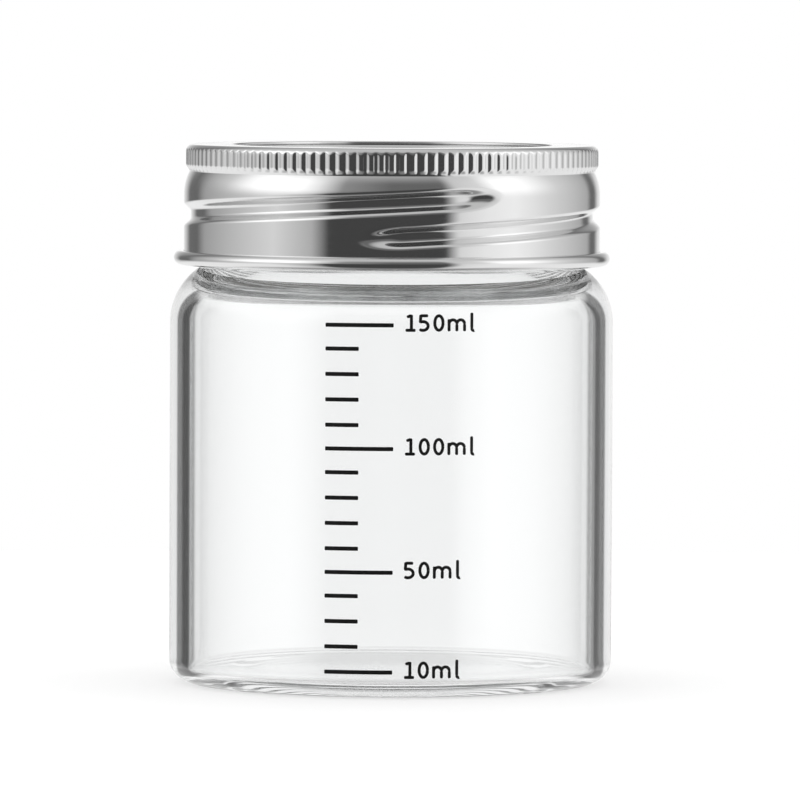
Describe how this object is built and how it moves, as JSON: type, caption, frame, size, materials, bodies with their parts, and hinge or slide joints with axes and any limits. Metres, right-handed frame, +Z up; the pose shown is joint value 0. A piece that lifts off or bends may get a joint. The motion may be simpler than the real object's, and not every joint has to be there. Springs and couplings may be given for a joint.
{
  "type": "glass steaming jar",
  "caption": "Clear round glass jar with a volume scale, closed by a steel screw band that holds a flat disc and a soft seal on the brim.",
  "frame": {"origin": "on the jar's axis, at the surface that the jar stands on", "axes": "+Z up along the jar's axis, -Y towards the side with the volume scale"},
  "size_m": [0.0656, 0.0656, 0.0797],
  "materials": {
    "clear_glass": "clear, fire-polished",
    "polished_steel": "bright polished stainless",
    "disc_steel": "bright stainless",
    "seal": "matt white silicone",
    "scale_print": "black enamel fired onto the glass"
  },
  "bodies": {
    "jar": {"glass_jar": "clear_glass"},
    "lid": {"lid_disc": "disc_steel", "seal_ring": "seal"},
    "band": {"screw_band": "polished_steel"}
  },
  "joints": [
    {"name": "lid_lift", "type": "slide", "parent": "jar", "child": "lid", "axis": [0, 0, 1], "range_m": [0, 0.02]},
    {"name": "band_turn", "type": "hinge", "parent": "lid", "child": "band", "pos_m": [0, 0, 0.07], "axis": [0, 0, 1], "range_deg": [0, 720]}
  ],
  "couplings": [
    {"joint": "lid_lift", "follows": "band_turn", "m_per_rad": 0.0015915}
  ]
}
